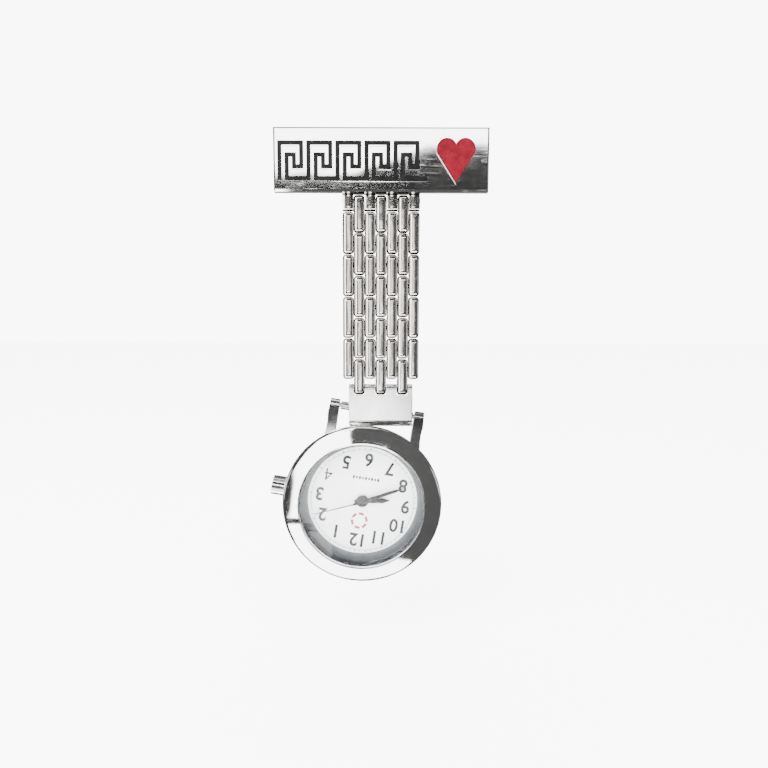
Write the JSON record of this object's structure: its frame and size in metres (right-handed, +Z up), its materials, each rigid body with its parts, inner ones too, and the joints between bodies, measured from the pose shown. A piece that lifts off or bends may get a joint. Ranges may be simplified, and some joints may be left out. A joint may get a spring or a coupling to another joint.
{
  "type": "fob watch",
  "caption": "Fob watch on a pin brooch: enamelled bar, woven link strap, hinged inverted quartz head with crown.",
  "frame": {"origin": "middle of the straight shaft of the brooch needle", "axes": "+Z up along the hanging strap, +X to the right seen from the dial side, +Y towards the garment"},
  "size_m": [0.0398, 0.009, 0.082],
  "materials": {
    "polished_metal": "mirror polished",
    "satin_metal": "satin",
    "strap_metal": "polished, worn",
    "stamped_metal": "satin",
    "steel": "drawn",
    "brushed_steel": "brushed",
    "black_enamel": "gloss enamel",
    "red_enamel": "gloss enamel",
    "rubber": "matte",
    "glass": "clear",
    "clear_plastic": "clear",
    "dial_white": "satin white",
    "brass": "satin",
    "white_plastic": "matte",
    "copper": "lacquered wire",
    "board": "matte",
    "hand_black": "satin black"
  },
  "bodies": {
    "brooch_bar": {"bar_plate": "polished_metal", "enamel_black": "black_enamel", "enamel_red": "red_enamel", "brooch_base": "stamped_metal", "needle_rivet": "steel", "strap_hanger": "stamped_metal", "strap_pin_top": "steel"},
    "needle": {"brooch_needle": "steel"},
    "catch": {"catch_sleeve": "stamped_metal"},
    "row_1": {"strap_row_1": "strap_metal"},
    "row_2": {"strap_row_2": "strap_metal", "strap_pins_row_2": "steel"},
    "row_3": {"strap_row_3": "strap_metal"},
    "row_4": {"strap_row_4": "strap_metal", "strap_pins_row_4": "steel"},
    "row_5": {"strap_row_5": "strap_metal"},
    "row_6": {"strap_row_6": "strap_metal", "strap_pins_row_6": "steel"},
    "row_7": {"strap_row_7": "strap_metal"},
    "row_8": {"strap_row_8": "strap_metal", "strap_pins_row_8": "steel"},
    "row_9": {"strap_row_9": "strap_metal"},
    "end_plate": {"end_link": "satin_metal", "strap_pin_bottom": "steel"},
    "spring_bar": {"spring_bar_tube": "steel", "spring_bar_tips": "steel", "spring_bar_spring": "steel"},
    "watch_head": {"mid_case": "polished_metal", "bezel": "polished_metal", "case_back": "brushed_steel", "case_back_gasket": "rubber", "crystal": "glass", "crystal_gasket": "clear_plastic", "rehaut_ring": "satin_metal", "dial": "dial_white", "crown_tube": "brass", "main_plate": "brass", "train_bridge": "brass", "movement_holder": "white_plastic", "battery": "brushed_steel", "stator": "steel", "coil": "copper", "circuit_board": "board", "quartz_can": "polished_metal"},
    "crown_seal": {"crown_gasket": "rubber"},
    "crown_knob": {"crown": "polished_metal", "crown_stem": "steel"},
    "minute_arbor": {"centre_wheel": "brass", "minute_hand": "hand_black"},
    "hour_pipe": {"hour_wheel": "brass", "hour_hand": "hand_black"},
    "seconds_arbor": {"fourth_wheel": "brass", "seconds_hand": "hand_black"},
    "third_arbor": {"third_wheel": "brass"},
    "fifth_arbor": {"fifth_wheel": "brass"},
    "rotor_arbor": {"rotor": "steel"},
    "minute_stud": {"minute_wheel": "brass"}
  },
  "joints": [
    {"name": "needle_open", "type": "hinge", "parent": "brooch_bar", "child": "needle", "pos_m": [0.013, 0, 0], "axis": [0, 0, -1], "range_deg": [0, 65]},
    {"name": "catch_turn", "type": "hinge", "parent": "brooch_bar", "child": "catch", "pos_m": [-0.01215, 0, 0], "axis": [-1, 0, 0], "range_deg": [0, 100]},
    {"name": "strap_hinge_0", "type": "hinge", "parent": "brooch_bar", "child": "row_1", "pos_m": [0, -0.0009, -0.00652], "axis": [1, 0, 0], "range_deg": [-60, 60]},
    {"name": "strap_hinge_1", "type": "hinge", "parent": "row_1", "child": "row_2", "pos_m": [0, -0.0009, -0.01033], "axis": [-1, 0, 0], "range_deg": [-60, 60]},
    {"name": "strap_hinge_2", "type": "hinge", "parent": "row_2", "child": "row_3", "pos_m": [0, -0.0009, -0.01414], "axis": [1, 0, 0], "range_deg": [-60, 60]},
    {"name": "strap_hinge_3", "type": "hinge", "parent": "row_3", "child": "row_4", "pos_m": [0, -0.0009, -0.01795], "axis": [-1, 0, 0], "range_deg": [-60, 60]},
    {"name": "strap_hinge_4", "type": "hinge", "parent": "row_4", "child": "row_5", "pos_m": [0, -0.0009, -0.02176], "axis": [1, 0, 0], "range_deg": [-60, 60]},
    {"name": "strap_hinge_5", "type": "hinge", "parent": "row_5", "child": "row_6", "pos_m": [0, -0.0009, -0.02557], "axis": [-1, 0, 0], "range_deg": [-60, 60]},
    {"name": "strap_hinge_6", "type": "hinge", "parent": "row_6", "child": "row_7", "pos_m": [0, -0.0009, -0.02938], "axis": [1, 0, 0], "range_deg": [-60, 60]},
    {"name": "strap_hinge_7", "type": "hinge", "parent": "row_7", "child": "row_8", "pos_m": [0, -0.0009, -0.03319], "axis": [-1, 0, 0], "range_deg": [-60, 60]},
    {"name": "strap_hinge_8", "type": "hinge", "parent": "row_8", "child": "row_9", "pos_m": [0, -0.0009, -0.037], "axis": [1, 0, 0], "range_deg": [-60, 60]},
    {"name": "strap_hinge_9", "type": "hinge", "parent": "row_9", "child": "end_plate", "pos_m": [0, -0.0009, -0.04081], "axis": [-1, 0, 0], "range_deg": [-60, 60]},
    {"name": "head_sway", "type": "hinge", "parent": "end_plate", "child": "spring_bar", "pos_m": [0.00542, -0.0009, -0.04582], "axis": [0, 1, 0], "range_deg": [-9, 0]},
    {"name": "head_flip", "type": "hinge", "parent": "spring_bar", "child": "watch_head", "pos_m": [-0.0007, -0.0009, -0.04485], "axis": [0.9877, 0, -0.1564], "range_deg": [-75, 75]},
    {"name": "crown_pull", "type": "slide", "parent": "watch_head", "child": "crown_seal", "axis": [-0.9877, 0, 0.1564], "range_m": [0, 0.0008]},
    {"name": "crown_turn", "type": "hinge", "parent": "crown_seal", "child": "crown_knob", "pos_m": [-0.01821, -0.0006, -0.05949], "axis": [-0.9877, 0, 0.1564], "continuous": true},
    {"name": "minute_turn", "type": "hinge", "parent": "watch_head", "child": "minute_arbor", "pos_m": [-0.00339, -0.0009, -0.06184], "axis": [0, 1, 0], "continuous": true},
    {"name": "hour_turn", "type": "hinge", "parent": "watch_head", "child": "hour_pipe", "pos_m": [-0.00339, -0.0009, -0.06184], "axis": [0, 1, 0], "continuous": true},
    {"name": "seconds_turn", "type": "hinge", "parent": "watch_head", "child": "seconds_arbor", "pos_m": [-0.00339, -0.0009, -0.06184], "axis": [0, 1, 0], "continuous": true},
    {"name": "third_turn", "type": "hinge", "parent": "watch_head", "child": "third_arbor", "pos_m": [-0.00715, -0.0009, -0.06257], "axis": [0, 1, 0], "continuous": true},
    {"name": "fifth_turn", "type": "hinge", "parent": "watch_head", "child": "fifth_arbor", "pos_m": [-0.00103, -0.0009, -0.05892], "axis": [0, 1, 0], "continuous": true},
    {"name": "rotor_turn", "type": "hinge", "parent": "watch_head", "child": "rotor_arbor", "pos_m": [0.00095, -0.0009, -0.05648], "axis": [0, 1, 0], "continuous": true},
    {"name": "minute_wheel_turn", "type": "hinge", "parent": "watch_head", "child": "minute_stud", "pos_m": [-0.00425, -0.0009, -0.0596], "axis": [0, 1, 0], "continuous": true}
  ],
  "couplings": [
    {"joint": "hour_turn", "follows": "minute_turn", "ratio": 0.083333},
    {"joint": "minute_wheel_turn", "follows": "minute_turn", "ratio": -0.33333},
    {"joint": "third_turn", "follows": "minute_turn", "ratio": -8},
    {"joint": "seconds_turn", "follows": "minute_turn", "ratio": 60},
    {"joint": "fifth_turn", "follows": "minute_turn", "ratio": -300},
    {"joint": "rotor_turn", "follows": "minute_turn", "ratio": 1800}
  ]
}
